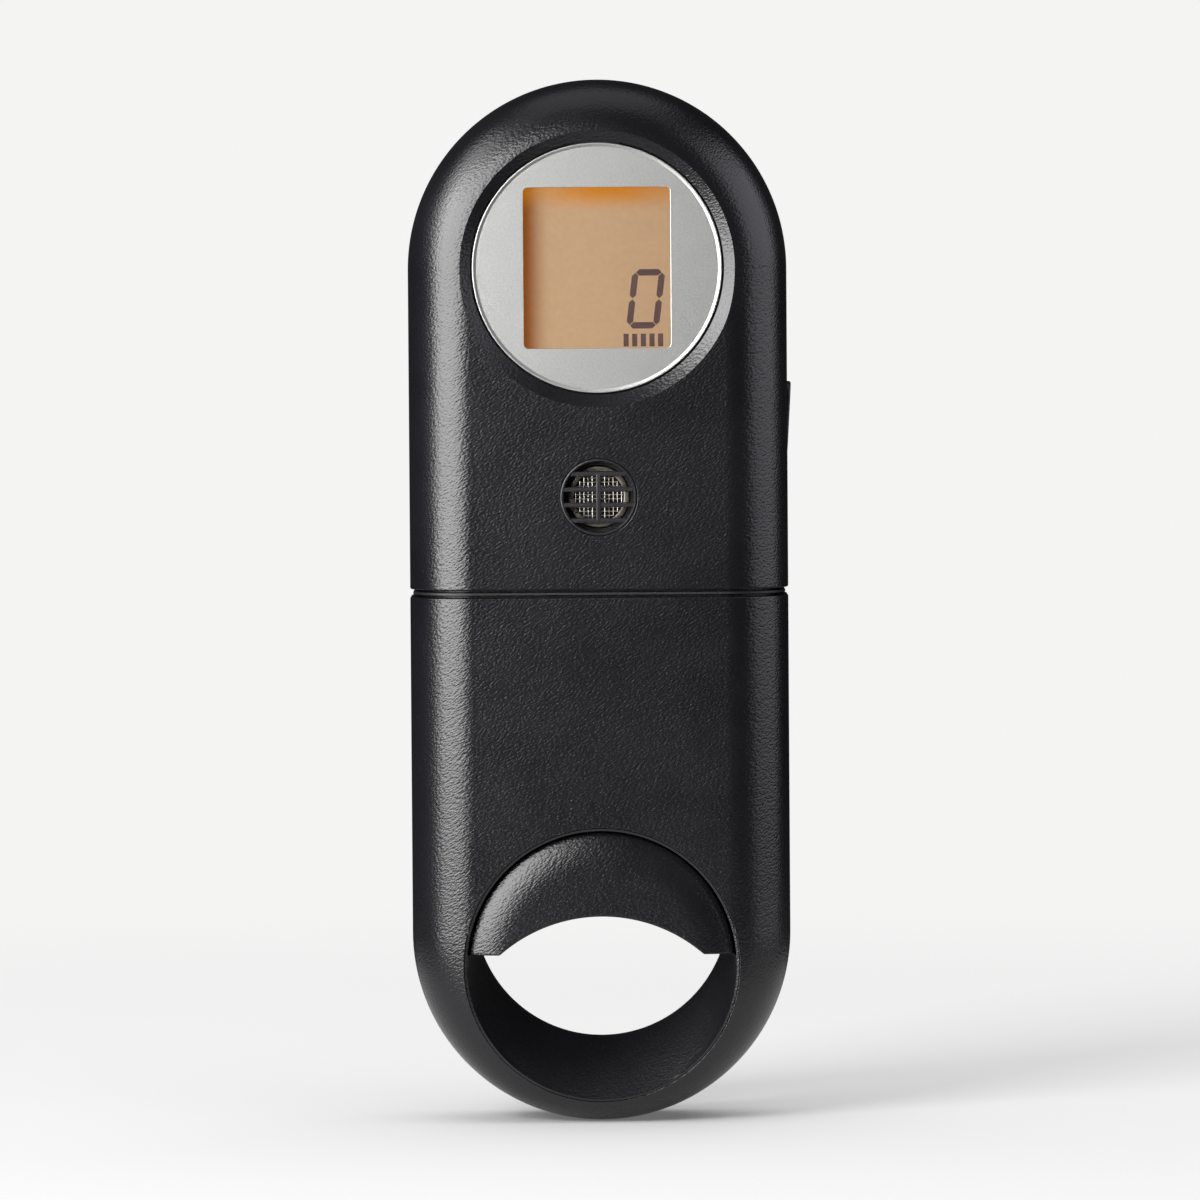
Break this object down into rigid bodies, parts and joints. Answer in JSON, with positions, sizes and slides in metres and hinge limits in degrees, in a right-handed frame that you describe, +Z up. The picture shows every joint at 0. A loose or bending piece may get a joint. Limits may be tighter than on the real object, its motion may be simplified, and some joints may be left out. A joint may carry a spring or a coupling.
{
  "type": "hand dynamometer",
  "caption": "Slim upright black pull-force meter with a round silver display at the top and a finger ring with a sliding crescent trigger at the foot.",
  "frame": {"origin": "on the floor below the middle of the rounded foot, halfway between the front and rear faces", "axes": "+Z up along the casing, -Y out of the front face with the display, +X to the right when facing the front"},
  "size_m": [0.0571, 0.027, 0.1552],
  "materials": {
    "housing": "fine moulded texture, black",
    "joining_band": "smooth dark grey",
    "silver_disc": "fine metallic silver, satin",
    "clear_window": "clear, polished",
    "lcd": "amber backlit liquid crystal",
    "lcd_marks": "dark liquid-crystal marks",
    "white_plastic": "natural white moulding",
    "light_guide": "frosted acrylic",
    "led": "amber lamp body",
    "conductive_rubber": "striped silicone",
    "circuit_board": "green solder mask",
    "chip": "black moulding compound",
    "capacitor": "tan ceramic",
    "steel": "bright zinc-plated or stainless",
    "spring_steel": "oiled spring wire",
    "button": "smooth black",
    "grille": "black, fine texture",
    "foam": "closed-cell foam",
    "sounder_metal": "pale plated can",
    "mesh": "fine woven wire",
    "battery_tray": "black moulding",
    "cell_sleeve": "plain printed sleeve",
    "wire": "insulated wire",
    "liner": "fine moulded texture, dark",
    "trigger": "fine moulded texture, black",
    "brass": "turned",
    "aluminium": "machined",
    "gauge_film": "amber film",
    "ribbon": "grey ribbon cable"
  },
  "bodies": {
    "casing": {"upper_front_shell": "housing", "upper_rear_shell": "housing", "lower_front_shell": "housing", "lower_rear_shell": "housing", "seam_band": "joining_band", "casing_screws": "steel", "display_disc": "silver_disc", "display_window": "clear_window", "lcd_glass": "lcd", "lcd_segments": "lcd_marks", "lcd_frame": "white_plastic", "light_guide": "light_guide", "backlight_leds": "led", "zebra_strip": "conductive_rubber", "main_board": "circuit_board", "board_screws": "steel", "microcontroller": "chip", "amplifier_chip": "chip", "ceramic_capacitors": "capacitor", "crystal": "steel", "tact_switch": "chip", "button_pin": "steel", "sounder_grille": "grille", "sounder_gasket": "foam", "sounder_can": "sounder_metal", "sounder_mesh": "mesh", "battery_tray": "battery_tray", "cell_left": "cell_sleeve", "cell_right": "cell_sleeve", "contact_springs": "steel", "contact_plates": "steel", "battery_leads": "wire", "ring_bezel_front": "liner", "ring_bezel_rear": "liner", "ring_liner_front": "liner", "ring_liner_rear": "liner", "guide_bushes": "brass", "load_frame": "aluminium", "frame_screws": "steel", "load_cell": "aluminium", "strain_gauges": "gauge_film", "load_cell_screws": "steel", "load_button": "steel", "load_cell_cable": "ribbon", "cable_plug": "white_plastic"},
    "trigger_body": {"trigger": "trigger", "guide_rods": "steel", "rod_clips": "spring_steel", "plunger": "steel", "load_spring": "spring_steel", "return_springs": "spring_steel"},
    "button_body": {"side_button": "button"},
    "door_body": {"battery_door": "housing"}
  },
  "joints": [
    {"name": "trigger_slide", "type": "slide", "parent": "casing", "child": "trigger_body", "axis": [0, 0, 1], "range_m": [0, 0.001], "stiffness_N_per_m": 500, "springref_m": -0.004, "deforming": ["load_spring", "return_springs"]},
    {"name": "side_button_tilt", "type": "hinge", "parent": "casing", "child": "button_body", "pos_m": [0.0246, 0, 0.0996], "axis": [0, -1, 0], "range_deg": [0, 2.8], "stiffness_Nm_per_rad": 0.1, "springref_deg": -1.15},
    {"name": "battery_door_lift", "type": "slide", "parent": "casing", "child": "door_body", "axis": [0, 1, 0], "range_m": [0, 0.03]}
  ]
}
